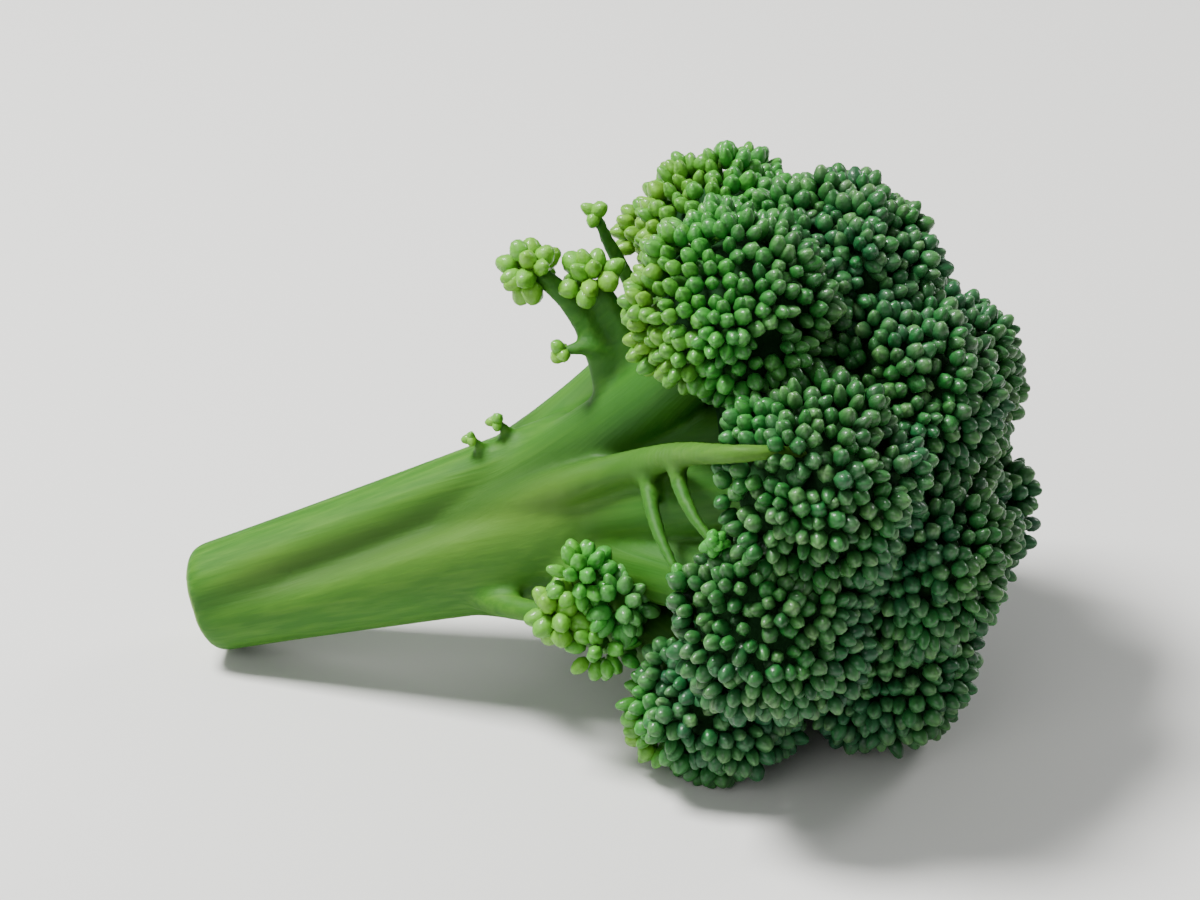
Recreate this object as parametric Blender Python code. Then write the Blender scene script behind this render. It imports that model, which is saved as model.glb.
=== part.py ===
"""A cut broccoli head, lying on its side: a pale stalk that forks into branches, and the green crown of buds on them.

Metres, +Z up. The floret rests on the surface at z = 0, its cut end towards -X and its crown towards +X.
The crown's boughs are set round its axis by the golden angle, as they grow. Each bough is a lobed dome, and
its buds are drawn larger than life, as one knob for each tuft of them.
"""

import math

import bmesh
import bpy
import numpy as np
from mathutils import Matrix, Vector

MM = 0.001
SEED = 26
GOLDEN_ANGLE = math.pi * (3 - math.sqrt(5))

# Where the floret lies. The axis runs from the cut end to the top of the crown, and leans up from +X.
CROWN_CENTRE = np.array([13.45, 0.45, 19.4]) * MM
LEAN = math.radians(20.6)
AXIS = np.array([math.cos(LEAN), 0.0, math.sin(LEAN)])
SIDE = np.array([0.0, 1.0, 0.0])
OVER = np.cross(AXIS, SIDE)
UPRIGHT = np.stack([OVER, SIDE, AXIS])

# The crown's outer half widths, along OVER, SIDE and AXIS
CROWN_HALF = np.array([23.0, 24.0, 17.5]) * MM

# Boughs: the crown's main domes. Their axes fan out from a point below the crown's centre.
BOUGH_COUNT = 13
BOUGH_RADIUS = 8.6 * MM
BOUGH_SPREAD = 0.09
BOUGH_POLAR = (math.radians(10), math.radians(114))
BOUGH_TURN = math.radians(318)
BOUGH_CROWDING = 1.15
FAN_DEPTH = 12.0 * MM

# One more bough, low beside the fork. Its place is along OVER, SIDE and AXIS from the crown's centre.
LOW_BOUGH_PLACE = np.array([-11.2, -9.3, -8.3]) * MM
LOW_BOUGH_RADIUS = 7.9 * MM

# The core that the boughs stand out of
CORE_HALF = np.array([11.5, 12.0, 8.5]) * MM
CORE_FINENESS = 2

# A bough swells in lobes, and tapers underneath to its branch.
LOBE_COUNT = 13
LOBE_HEIGHT = 0.9 * MM
LOBE_WIDTH = math.radians(24)
TAPER_FROM = math.radians(95)
TAPER_TO = math.radians(165)
TAPER = 0.42

# Tufts of buds: a knob on each cell of a bough's lattice, down to where the bough tapers
TUFT_CELLS = 38
TUFT_HEIGHT = 1.9 * MM
TUFT_JITTER = 0.045
TUFT_FADE = (math.radians(98), math.radians(118))
SHOULDER_PLACE = 0.62
SHOULDER_SHARE = 0.72

# The stalk, by distance along the axis from the crown's centre
CUT_END = -45.0 * MM
STALK_HEAD = -5.0 * MM
CUT_RADIUS = 4.1 * MM
FORK_RADIUS = 7.4 * MM
FORK_AT = -15.0 * MM
WIDENING = 1.15
HEAD_ROUNDING = 0.6
GROOVE_TURNS = (math.radians(22), math.radians(112), math.radians(205), math.radians(287))
GROOVE_WIDTH = math.radians(15)
GROOVE_DEPTH = (0.07, 0.2)
STALK_SIDES = 24
STALK_RINGS = 8

# Branches: one from inside the stalk to each bough
BRANCH_SIDES = 7
BRANCH_STEPS = 5
BRANCH_RADII = (2.7 * MM, 2.5 * MM)
BRANCH_FOOT = -21.0 * MM
BRANCH_FOOT_OUT = 2.9 * MM
BRANCH_FOOT_LIFT = 0.5
BRANCH_SLANT = 0.3
BRANCH_STRAIGHT = 0.55
BRANCH_TIP_SHORT = 0.15

# Sprigs: small branchlets with a few large buds. Places are along OVER, SIDE and AXIS from the crown's centre.
SPRIG_FEET = np.array([[6.8, -2.6, -10.5], [7.2, -2.6, -8.5], [-2.0, -3.5, -25.0]]) * MM
SPRIG_BENDS = np.array([[14.0, -1.5, -8.5], [12.5, -1.5, -7.0], [-3.0, -8.0, -21.0]]) * MM
SPRIG_TIPS = np.array([[18.0, -0.5, -12.5], [16.2, -0.5, -8.8], [-2.9, -10.0, -16.6]]) * MM
SPRIG_BUDS = 11
SPRIG_HEAD_RADIUS = 2.5 * MM
SPRIG_BUD_HEIGHT = 1.1 * MM
SPRIG_RADIUS = 1.2 * MM
SPRIG_SIDES = 6

# Between the crown and the stalk all round, so that the two pieces stay apart
GAP = 0.3 * MM

# A path whose ends turn less than this counts as straight.
STRAIGHT_BELOW = 0.02
FLOOR_SIZE = 90.0 * MM

# Linear colours, and how rough each surface is
STALK_COLOUR = (0.21, 0.36, 0.07)
STALK_ROUGHNESS = 0.4
BUD_COLOUR = (0.03, 0.12, 0.02)
BUD_ROUGHNESS = 0.45


def unit(vectors):
    return vectors / np.linalg.norm(vectors, axis=-1, keepdims=True)


def golden_cap(count, polar, turn, crowding=1):
    """Unit vectors round +Z between two polar angles, each a golden angle on from the last.

    They are spread evenly, or nearer to the pole where crowding is over 1.
    """
    step = ((np.arange(count) + 0.5) / count) ** crowding
    cosine = math.cos(polar[0]) + (math.cos(polar[1]) - math.cos(polar[0])) * step
    sine = np.sqrt(1 - cosine**2)
    angle = turn + GOLDEN_ANGLE * np.arange(count)
    return np.stack([sine * np.cos(angle), sine * np.sin(angle), cosine], axis=1)


def frame_on(axis):
    """Three square axes as rows, the last of them the given one."""
    across = unit(np.cross(axis, SIDE if abs(axis[1]) < 0.9 else AXIS))
    return np.stack([across, np.cross(axis, across), axis])


def ease(value, start, end):
    """0 before start and 1 after end, with a smooth rise between."""
    share = np.clip((value - start) / (end - start), 0, 1)
    return share * share * (3 - 2 * share)


def plan_boughs(random):
    """Centres, axes and radii of the main domes inside the crown's outline, and of the low one."""
    cap = golden_cap(BOUGH_COUNT, BOUGH_POLAR, BOUGH_TURN, BOUGH_CROWDING)
    radii = BOUGH_RADIUS * random.uniform(1 - BOUGH_SPREAD, 1 + BOUGH_SPREAD, BOUGH_COUNT)
    places = np.vstack([cap * (CROWN_HALF - radii[:, None]), LOW_BOUGH_PLACE])
    axes = unit(places + [0, 0, FAN_DEPTH]) @ UPRIGHT
    return list(zip(CROWN_CENTRE + places @ UPRIGHT, axes, [*radii, LOW_BOUGH_RADIUS]))


def bough_ground(outward, radius, lobes):
    """The bough's low surface in each direction: a ball, swollen by its lobes and tapered underneath."""
    polar = np.arccos(np.clip(outward[:, 2], -1, 1))
    apart = np.arccos(np.clip(outward @ lobes.T, -1, 1))
    swell = np.exp(-((apart / LOBE_WIDTH) ** 2)).max(axis=1)
    return (radius - TUFT_HEIGHT - LOBE_HEIGHT * (1 - swell)) * (1 - TAPER * ease(polar, TAPER_FROM, TAPER_TO))


def lattice_faces(cells):
    """The triangles of the lattice that joins each cell to its neighbours."""
    shape = bmesh.new()
    points = [shape.verts.new(cell) for cell in cells]
    shape.verts.index_update()
    bmesh.ops.convex_hull(shape, input=points)
    faces = [[corner.index for corner in face.verts] for face in shape.faces]
    shape.free()
    return faces


def covered(points, centre, boughs):
    """Whether each point lies inside a bough other than the one with this centre."""
    inside = np.zeros(len(points), bool)
    for other, _, radius in boughs:
        if not np.allclose(other, centre):
            inside |= np.linalg.norm(points - other, axis=1) < radius - TUFT_HEIGHT
    return inside


def knobbly_mesh(centre, frame, cells, raised, reach):
    """A closed surface over a lattice of cells. A raised cell is a knob: a top, shoulders and low ground round it.

    reach gives the surface's distance from the centre, for directions and their heights from 0 to 1.
    """
    faces = lattice_faces(cells)
    middles = unit(cells[faces].sum(axis=1))
    low = len(cells)
    sides = {(a, b): i for i, face in enumerate(faces) for a, b in zip(face, face[1:] + face[:1])}
    shoulders = {}
    points, heights = [*cells, *middles], [*raised.astype(float)] + [0.0] * len(faces)
    for i, face in enumerate(faces):
        for a in face:
            if raised[a]:
                shoulders[a, i] = len(points)
                points.append(unit(cells[a] + (middles[i] - cells[a]) * SHOULDER_PLACE))
                heights.append(SHOULDER_SHARE)
    triangles = []
    for (a, b), i in sides.items():
        j = sides[b, a]
        if raised[a]:
            near, far = shoulders[a, i], shoulders[a, j]
            triangles += [(a, near, far), (near, low + i, low + j), (near, low + j, far)]
        else:
            triangles.append((a, low + i, low + j))
    outward = np.array(points)
    distance = reach(outward, np.array(heights))
    return closed_mesh("knobs", centre + (outward * distance[:, None]) @ frame, triangles)


def bough_mesh(centre, axis, radius, boughs, random):
    """One bough. Its cells stay plain and low where it tapers, and where another bough covers them."""
    frame = frame_on(axis)
    lobes = golden_cap(LOBE_COUNT, (0, math.pi), random.uniform(0, 2 * math.pi))
    cells = golden_cap(TUFT_CELLS, (0, math.pi), random.uniform(0, 2 * math.pi))
    cells = unit(cells + random.normal(0, TUFT_JITTER, cells.shape))
    raised = (cells[:, 2] > math.cos(TUFT_FADE[1])) & ~covered(centre + cells @ frame * radius, centre, boughs)

    def reach(outward, heights):
        polar = np.arccos(np.clip(outward[:, 2], -1, 1))
        return bough_ground(outward, radius, lobes) + TUFT_HEIGHT * heights * (1 - ease(polar, *TUFT_FADE))

    return knobbly_mesh(centre, frame, cells, raised, reach)


def closed_mesh(name, points, faces):
    """A mesh whose faces all point out."""
    mesh = bpy.data.meshes.new(name)
    mesh.from_pydata([tuple(point) for point in points], [], faces)
    shape = bmesh.new()
    shape.from_mesh(mesh)
    bmesh.ops.recalc_face_normals(shape, faces=shape.faces)
    shape.to_mesh(mesh)
    shape.free()
    return mesh


def egg_mesh(centre, half, fineness):
    """An egg with three radii along OVER, SIDE and AXIS."""
    shape = bmesh.new()
    bmesh.ops.create_icosphere(shape, subdivisions=fineness, radius=1)
    points = [centre + (np.array(point.co) * half) @ UPRIGHT for point in shape.verts]
    faces = [[corner.index for corner in face.verts] for face in shape.faces]
    shape.free()
    return closed_mesh("egg", points, faces)


def lofted_mesh(name, rings):
    """A closed skin over rings of points, flat at both ends."""
    sides = len(rings[0])
    faces = [tuple(range(sides)), tuple(range(sides * (len(rings) - 1), sides * len(rings)))]
    for row in range(len(rings) - 1):
        for i in range(sides):
            j = (i + 1) % sides
            low, high = row * sides, (row + 1) * sides
            faces.append((low + i, low + j, high + j, high + i))
    return closed_mesh(name, np.concatenate(rings), faces)


def floor_mesh():
    """A block under z = 0, which cuts the resting flats."""
    ring = np.array([[-1, -1, 0], [1, -1, 0], [1, 1, 0], [-1, 1, 0]]) * FLOOR_SIZE / 2
    return lofted_mesh("floor", [ring - np.array([0, 0, FLOOR_SIZE / 2]), ring])


def new_object(name, mesh, collection=None):
    thing = bpy.data.objects.new(name, mesh)
    (collection or bpy.context.scene.collection).objects.link(thing)
    return thing


def combined(base, parts, operation):
    """The base's mesh after a Boolean with the other meshes. The objects made for it are removed.

    The Boolean works in millimetres, where its tolerance is finer than in metres.
    """
    holder = bpy.data.collections.new("parts")
    bpy.context.scene.collection.children.link(holder)
    for mesh in [base, *parts]:
        mesh.transform(Matrix.Scale(1 / MM, 4))
    for part in parts:
        new_object("part", part, holder)
    thing = new_object("base", base)
    join = thing.modifiers.new("join", "BOOLEAN")
    join.operation = operation
    join.solver = "MANIFOLD"
    join.operand_type = "COLLECTION"
    join.collection = holder
    bpy.context.view_layer.update()
    mesh = bpy.data.meshes.new_from_object(thing.evaluated_get(bpy.context.evaluated_depsgraph_get()))
    mesh.transform(Matrix.Scale(MM, 4))
    mesh.materials.clear()
    for used in [thing, *holder.objects]:
        bpy.data.objects.remove(used)
    bpy.data.collections.remove(holder)
    return mesh


def main_body(mesh):
    """Keeps the one skin that holds the most, so that loose scraps go and sealed hollows are filled."""
    shape = bmesh.new()
    shape.from_mesh(mesh)
    left, skins = set(shape.verts), []
    while left:
        ahead, skin = [left.pop()], set()
        while ahead:
            point = ahead.pop()
            skin.add(point)
            near = {edge.other_vert(point) for edge in point.link_edges} & left
            left -= near
            ahead += near
        faces = {face for point in skin for face in point.link_faces}
        holds = sum(face.calc_area() * face.normal.dot(face.calc_center_median()) for face in faces)
        skins.append((holds, len(skins), list(skin)))
    for _, _, skin in sorted(skins)[:-1]:
        bmesh.ops.delete(shape, geom=skin, context="VERTS")
    for face in shape.faces:
        face.smooth = True
    shape.to_mesh(mesh)
    shape.free()
    return mesh


def curve_through(foot, bend, tip, steps):
    """Points on the curve that leaves foot towards bend and comes to tip from it."""
    t = np.linspace(0, 1, steps)[:, None]
    return foot * (1 - t) ** 2 + bend * 2 * t * (1 - t) + tip * t**2


def tube_mesh(name, points, radii, sides):
    """A tube round a path that bends in one plane, its rings square to the path."""
    turn = np.arange(sides)[:, None] * 2 * math.pi / sides
    along = unit(np.gradient(points, axis=0))
    bend = np.cross(along[0], along[-1])
    across = unit(bend) if np.linalg.norm(bend) > STRAIGHT_BELOW else frame_on(along[0])[0]
    rings = []
    for point, forward, radius in zip(points, along, radii):
        over = unit(np.cross(forward, across))
        rings.append(point + radius * (np.cos(turn) * across + np.sin(turn) * over))
    return lofted_mesh(name, rings)


def trunk_mesh(grow):
    """The stalk widens to the fork, then rounds off inside the crown. Its grooves deepen as they run up it."""
    turn = np.arange(STALK_SIDES) * 2 * math.pi / STALK_SIDES
    apart = np.angle(np.exp(1j * (turn[:, None] - np.array(GROOVE_TURNS))))
    dent = np.exp(-((apart / GROOVE_WIDTH) ** 2)).sum(axis=1)
    round_it = np.cos(turn)[:, None] * OVER + np.sin(turn)[:, None] * SIDE
    rings = []
    for place in np.linspace(CUT_END, STALK_HEAD, STALK_RINGS):
        rise = min(1, (place - CUT_END) / (FORK_AT - CUT_END))
        past = max(0, (place - FORK_AT) / (STALK_HEAD - FORK_AT))
        radius = CUT_RADIUS + (FORK_RADIUS - CUT_RADIUS) * rise**WIDENING
        radius *= math.sqrt(1 - HEAD_ROUNDING * past**2)
        depth = GROOVE_DEPTH[0] + (GROOVE_DEPTH[1] - GROOVE_DEPTH[0]) * rise**2
        reach = radius * (1 - depth * dent) + grow
        rings.append(CROWN_CENTRE + AXIS * place + reach[:, None] * round_it)
    rings[0] = rings[0] - AXIS * grow
    rings[-1] = rings[-1] + AXIS * grow
    return lofted_mesh("trunk", rings)


def branch_mesh(centre, axis, radius, grow):
    """A branch parts from the stalk at a slant and bends out to end inside a bough."""
    tip = centre - axis * radius * BRANCH_TIP_SHORT
    height = (tip - CROWN_CENTRE) @ AXIS
    sideways = unit(tip - CROWN_CENTRE - AXIS * height)
    foot = CROWN_CENTRE + AXIS * (BRANCH_FOOT + height * BRANCH_FOOT_LIFT) + sideways * BRANCH_FOOT_OUT
    bend = foot + unit(AXIS + sideways * BRANCH_SLANT) * BRANCH_STRAIGHT * np.linalg.norm(tip - foot)
    path = curve_through(foot, bend, tip, BRANCH_STEPS)
    return tube_mesh("branch", path, np.linspace(*BRANCH_RADII, BRANCH_STEPS) + grow, BRANCH_SIDES)


def sprig_meshes(grow):
    """Each sprig is a bent branchlet with a small head of large buds."""
    cells = golden_cap(SPRIG_BUDS, (0, math.pi), 0)
    raised = np.ones(SPRIG_BUDS, bool)
    meshes = []
    for foot, bend, tip in zip(SPRIG_FEET, SPRIG_BENDS, SPRIG_TIPS):
        path = CROWN_CENTRE + curve_through(foot, bend, tip, BRANCH_STEPS) @ UPRIGHT
        radii = np.full(BRANCH_STEPS, SPRIG_RADIUS + grow)
        meshes.append(tube_mesh("branchlet", path, radii, SPRIG_SIDES))
        frame = frame_on(unit(path[-1] - path[-2]))
        meshes.append(knobbly_mesh(
            path[-1], frame, cells, raised,
            lambda outward, heights: SPRIG_HEAD_RADIUS - SPRIG_BUD_HEIGHT * (1 - heights) + grow))
    return meshes


def stalk_mesh(boughs, grow=0.0):
    """The stalk, its branches and its sprigs as one body, made larger all round by grow."""
    branches = [branch_mesh(*bough, grow) for bough in boughs]
    return combined(trunk_mesh(grow), branches + sprig_meshes(grow), "UNION")


def crown_mesh(boughs, random):
    """The boughs fused round a core, less the room that the stalk and its branches take, and flat at z = 0."""
    core = egg_mesh(CROWN_CENTRE, CORE_HALF, CORE_FINENESS)
    whole = combined(core, [bough_mesh(*bough, boughs, random) for bough in boughs], "UNION")
    return main_body(combined(whole, [stalk_mesh(boughs, GAP), floor_mesh()], "DIFFERENCE"))


def material(name, colour, roughness):
    finish = bpy.data.materials.new(name)
    finish.use_nodes = True
    shader = finish.node_tree.nodes["Principled BSDF"]
    shader.inputs["Base Color"].default_value = (*colour, 1)
    shader.inputs["Roughness"].default_value = roughness
    shader.inputs["Metallic"].default_value = 0
    finish.diffuse_color = (*colour, 1)
    return finish


def main():
    for thing in list(bpy.data.objects):
        bpy.data.objects.remove(thing)
    random = np.random.default_rng(SEED)
    boughs = plan_boughs(random)
    stalk = new_object("stalk", main_body(combined(stalk_mesh(boughs), [floor_mesh()], "DIFFERENCE")))
    stalk.data.materials.append(material("pale green stalk", STALK_COLOUR, STALK_ROUGHNESS))
    crown = new_object("crown", crown_mesh(boughs, random))
    crown.data.materials.append(material("dark green buds", BUD_COLOUR, BUD_ROUGHNESS))


main()
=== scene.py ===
"""A cut broccoli floret lying on its side, as it looks under soft light.

A ribbed green stalk forks into branches. On them stand a crown of waxy buds packed in tufts, and a few
yellow-green sprigs. The boughs and tufts, the stalk and its branches are laid out by the same named values
and the same seed as the CAD model. Metres, +Z up, the cut end towards -X.
"""

import math

import bpy
import numpy as np
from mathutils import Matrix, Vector


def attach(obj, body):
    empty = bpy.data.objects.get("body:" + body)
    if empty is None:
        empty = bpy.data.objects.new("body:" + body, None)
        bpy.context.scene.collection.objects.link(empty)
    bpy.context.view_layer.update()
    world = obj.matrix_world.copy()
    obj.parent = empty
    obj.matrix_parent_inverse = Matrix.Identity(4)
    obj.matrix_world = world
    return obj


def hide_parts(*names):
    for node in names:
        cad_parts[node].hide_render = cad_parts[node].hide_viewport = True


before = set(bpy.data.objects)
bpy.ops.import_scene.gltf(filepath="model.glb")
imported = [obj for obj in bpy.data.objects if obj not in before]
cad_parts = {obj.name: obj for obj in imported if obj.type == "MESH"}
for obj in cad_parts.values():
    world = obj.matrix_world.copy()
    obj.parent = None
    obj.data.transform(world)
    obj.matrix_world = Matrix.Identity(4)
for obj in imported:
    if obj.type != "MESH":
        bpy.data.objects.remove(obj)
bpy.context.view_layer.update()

MM = 0.001
SEED = 26
GOLDEN_ANGLE = math.pi * (3 - math.sqrt(5))
FULL_TURN = 2 * math.pi
ALONG_SIDE = 0.9
LEAST_BEND = 0.02

# The CAD model's layout. Its places are along OVER, SIDE and AXIS from CROWN_CENTRE.
CROWN_CENTRE = np.array([13.45, 0.45, 19.4]) * MM
LEAN = math.radians(20.6)
AXIS = np.array([math.cos(LEAN), 0.0, math.sin(LEAN)])
SIDE = np.array([0.0, 1.0, 0.0])
OVER = np.cross(AXIS, SIDE)
UPRIGHT = np.stack([OVER, SIDE, AXIS])
CROWN_HALF = np.array([23.0, 24.0, 17.5]) * MM
BOUGH_COUNT = 13
BOUGH_RADIUS = 8.6 * MM
BOUGH_SPREAD = 0.09
BOUGH_POLAR = (math.radians(10), math.radians(114))
BOUGH_TURN = math.radians(318)
BOUGH_CROWDING = 1.15
FAN_DEPTH = 12.0 * MM
LOW_BOUGH_PLACE = np.array([-11.2, -9.3, -8.3]) * MM
LOW_BOUGH_RADIUS = 7.9 * MM
LOBE_COUNT = 13
LOBE_HEIGHT = 0.9 * MM
LOBE_WIDTH = math.radians(24)
TAPER_SPAN = (math.radians(95), math.radians(165))
TAPER = 0.42
TUFT_CELLS = 38
TUFT_HEIGHT = 1.9 * MM
TUFT_JITTER = 0.045
TUFT_FADE = (math.radians(98), math.radians(118))
CUT_END = -45.0 * MM
STALK_HEAD = -5.0 * MM
CUT_RADIUS = 4.1 * MM
FORK_RADIUS = 7.4 * MM
FORK_AT = -15.0 * MM
WIDENING = 1.15
HEAD_ROUNDING = 0.6
GROOVE_TURNS = np.radians([22, 112, 205, 287])
GROOVE_WIDTH = math.radians(15)
GROOVE_DEPTH = (0.07, 0.2)
BRANCH_RADII = (2.7 * MM, 2.5 * MM)
BRANCH_FOOT = -21.0 * MM
BRANCH_FOOT_OUT = 2.9 * MM
BRANCH_FOOT_LIFT = 0.5
BRANCH_SLANT = 0.3
BRANCH_STRAIGHT = 0.55
BRANCH_TIP_SHORT = 0.15
SPRIG_FEET = np.array([[6.8, -2.6, -10.5], [7.2, -2.6, -8.5], [-2.0, -3.5, -25.0]]) * MM
SPRIG_BENDS = np.array([[14.0, -1.5, -8.5], [12.5, -1.5, -7.0], [-3.0, -8.0, -21.0]]) * MM
SPRIG_TIPS = np.array([[18.0, -0.5, -12.5], [16.2, -0.5, -8.8], [-2.9, -10.0, -16.6]]) * MM
SPRIG_RADII = (1.2 * MM, 0.72 * MM)

# The crown's inner bough, and the size and stance of its buds
INNER_BOUGH_PLACE = np.array([-4.9, -0.4, 6.9]) * MM
INNER_BOUGH_RADIUS = 6.8 * MM
BUD_RADIUS = 0.62 * MM
BUD_WIDTHS = (0.78, 1.14)
BUD_LENGTH = 1.6 * MM
BUD_SIDES = 8
BUD_RINGS = np.array([0.07, 0.30, 0.58, 0.82, 0.945])
BUD_TIP = 0.985
BUD_LOWNESS = 0.9
BUD_BLUNTNESS = 0.55
BUD_LAPS = 4
LAP_DEPTH = 0.16
TIP_SEAM = 0.6
BUD_COVER = 3.6 * MM
FLOOR_GAP = 0.1 * MM
TUFT_RADIUS = 2.9 * MM
TUFT_SIZES = (0.9, 1.08)
TUFT_BUDS = 30
TUFT_OPENING = math.radians(94)
TUFT_COVER = 3.4 * MM
TUFT_FADING = 0.6
TUFT_OVERLAP = 0.02
TUFT_BUD_LENGTHS = (0.85, 1.12)
TUFT_BUD_HEART = 0.6
BUD_STRAY = 0.05
BUD_LIFT = 0.17 * MM
LEAN_OUT = 1.2 * MM
LEAN_STRAY = 0.3 * MM
FILL_BUDS = 420
FILL_APART = 1.05 * MM
FILL_SCATTER = 0.03
FILL_STRAY = 0.15
FILL_LENGTHS = (0.9, 1.2)
FILL_BUD_HEART = 0.8

# What varies from bud to bud: its pale tip, partly bloom and partly a painted highlight, the painted shade
# in the gaps, and how young it is. Behind is how far it stands from the crown's centre back towards the
# stalk, and over how far above the centre.
BLOOM_AND_HIGHLIGHT = (0.1, 1.0)
EDGE_SHADE = 0.5
FOOT_SHADE = 0.6
YOUNG_SHADE_LOSS = 0.7
YOUNG_UPPER = 0.95
YOUNG_UPPER_BEHIND = (-9.0 * MM, 7.0 * MM)
YOUNG_UPPER_OVER = (2.0 * MM, 14.0 * MM)
YOUNG_REAR_BEHIND = (9.5 * MM, 15.0 * MM)
YOUNG_SPREAD = (0.75, 1.1)
YOUNG_EXTRA = (0.0, 0.12)

# Boughs by number: 0 to 12 lie over the cap, 13 is the low one and 14 the inner one.
BUD_PIECES = {"buds_top": (0, 1, 2, 3, 14), "buds_middle": (4, 5, 6, 7), "buds_rim": (8, 9, 10, 11, 12, 13)}

# The flesh under the buds, and the branchlets. Spans are angles down from a bough's top, in radians.
CORE_SINK = 1.2 * MM
CORE_HALF = np.array([10.0, 10.5, 6.5]) * MM
CORE_AHEAD = 1.5 * MM
FLESH_ROWS = 26
FLESH_SIDES = 44
FLESH_POLE = 0.06
FLESH_THINNING = 0.2
FLESH_THIN_SPAN = (1.75, 2.4)
FLESH_PALE_SPAN = (1.8, 2.2)
BRANCHLET_RADII = (0.95 * MM, 0.7 * MM)
BRANCHLET_STEPS = 8
BRANCHLET_SIDES = 7
BRANCHLET_RIM = math.radians(50)
BRANCHLET_SHORT = 1.45
BRANCHLET_ROOT = 0.75
BRANCHLET_SPLAY = 0.12
BRANCHLET_RISE = 0.22
BRANCHLET_BEND = 0.34
BRANCHLET_GREEN = (0.3, 1.0)

# The stalk's skin. Spans are heights along it. The main groove starts by shares of the way up to the fork,
# and the pith and the ring lie by shares of the cut face's radius.
TRUNK_SIDES = 96
TRUNK_ROWS = 90
BRANCH_STEPS = 20
BRANCH_SIDES = 20
STALK_VOXEL = 0.34 * MM
STALK_SMOOTHING = 5
STALK_SOFTENING = 0.55
CUT_ROUNDING = 1.3 * MM
CUT_INSET = 0.9 * MM
MAIN_GROOVE = 3
MAIN_GROOVE_DEPTH = 0.2
MAIN_GROOVE_TWIST = math.radians(36)
MAIN_GROOVE_START = (0.0, 0.35)
MAIN_GROOVE_SPAN = (-9.0 * MM, -5.0 * MM)
FORK_SPAN = (FORK_AT - 6.0 * MM, FORK_AT)
BRANCH_BLEND = 0.6 * MM
GREENING_SPAN = (-24.0 * MM, -4.0 * MM)
PALE_SIDE = math.radians(302)
PALE_SIDE_WIDTH = math.radians(26)
PALE_SIDE_START = (CUT_END, -38.0 * MM)
PALE_SIDE_END = (-16.0 * MM, -7.0 * MM)
PALE_SIDE_SHARE = 0.8
PALE_BRANCH_GLOW = 1.6 * MM
PALE_BRANCH_SHARE = 0.5
CUT_SPAN = (CUT_END + 0.15 * MM, CUT_END + 0.6 * MM)
PITH_SPAN = (0.5, 0.75)
PITH_SHARE = 0.8
RING_PLACE = 0.78
RING_WIDTH = 0.1

# The long pale branch over the gap in the crown, its twigs, and the places that no bud stands in beside it
PALE_BRANCH = MM * np.array([
    [1.6, -1.9, -25.0], [4.3, -5.9, -14.0], [5.6, -8.2, -7.6], [7.9, -13.6, -2.8],
    [9.1, -17.9, 1.4], [8.7, -18.2, 3.9], [7.2, -16.4, 5.8]])
PALE_BRANCH_RADII = (1.7 * MM, 0.5 * MM)
PALE_BRANCH_STEPS = 42
PALE_BRANCH_SIDES = 14
PALE_STEPS = slice(10, None)
BARE_STEPS = slice(21, 33)
BARE_BESIDE = 1.35 * MM
BARE_PLACE = np.array([5.3, -15.8, -2.8]) * MM
BARE_RADIUS = 2.9 * MM
TWIG_FEET = np.array([[5.0, -8.0, -7.6], [6.8, -11.8, -4.2]]) * MM
TWIG_BENDS = np.array([[3.0, -12.9, -7.4], [5.6, -15.6, -3.9]]) * MM
TWIG_TIPS = np.array([[0.4, -16.2, -5.4], [3.2, -18.0, -1.8]]) * MM
TWIG_RADII = (0.75 * MM, 0.42 * MM)

# Three more sprigs beside the low bough, and tiny stalklets on the stalk and its upper branch
LOW_HEAD_FEET = np.array([[-4.0, -5.0, -18.0], [-4.5, -5.5, -16.5], [-2.5, -5.0, -17.5]]) * MM
LOW_HEAD_BENDS = np.array([[-5.2, -8.5, -16.5], [-3.5, -8.5, -14.5], [-1.2, -8.0, -15.5]]) * MM
LOW_HEAD_TIPS = np.array([[-5.8, -10.5, -14.4], [-3.2, -10.3, -12.2], [-0.9, -9.8, -14.2]]) * MM
STALKLET_FEET = MM * np.array([
    [9.5, 1.5, -6.0], [10.5, -2.0, -8.6], [6.5, -1.5, -20.5], [6.8, -0.8, -18.6]])
STALKLET_BENDS = MM * np.array([
    [14.0, 3.5, -8.0], [12.8, -3.0, -9.5], [7.4, -1.6, -20.6], [7.8, -0.9, -18.6]])
STALKLET_TIPS = MM * np.array([
    [19.4, 3.5, -8.2], [12.9, -3.2, -11.8], [7.7, -1.7, -20.9], [8.2, -1.0, -18.9]])
STALKLET_SIZES = np.array([1.0, 0.9, 0.62, 0.7])
STALKLET_RADII = (0.8 * MM, 0.5 * MM)
THIN_STEPS = 14
SPRIG_SIDES = 12
STALKLET_SIDES = 10
TWIG_SIDES = 12

# The heads of buds on thin stalks: how many buds, and the head's radius and the buds' radius and length
SPRIG_HEAD = (17, 1.75 * MM, 0.78 * MM, 1.9 * MM)
STALKLET_HEAD = (4, 0.5 * MM, 0.62 * MM, 1.4 * MM)
LOW_HEAD = (26, 2.1 * MM, 0.62 * MM, 1.6 * MM)
TWIG_HEAD = (9, 0.6 * MM, 0.5 * MM, 1.3 * MM)
HEAD_OPENING = math.radians(125)
HEAD_TURN = 0.4
HEAD_STRAY = 0.12
HEAD_REACHES = (0.92, 1.1)
HEAD_BUD_LENGTHS = (0.8, 1.15)
HEAD_BUD_WIDTHS = (0.8, 1.1)
HEAD_TONES = (0.3, 1.0)
HEAD_TIP = 0.6
HEAD_FOOT_SHADE = 0.35
HEAD_SEAM = 0.5
HEAD_YOUNG_SPREAD = (0.85, 1.1)
SPRIG_YOUNG = 0.9
LOW_HEAD_YOUNG = 0.8
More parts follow.
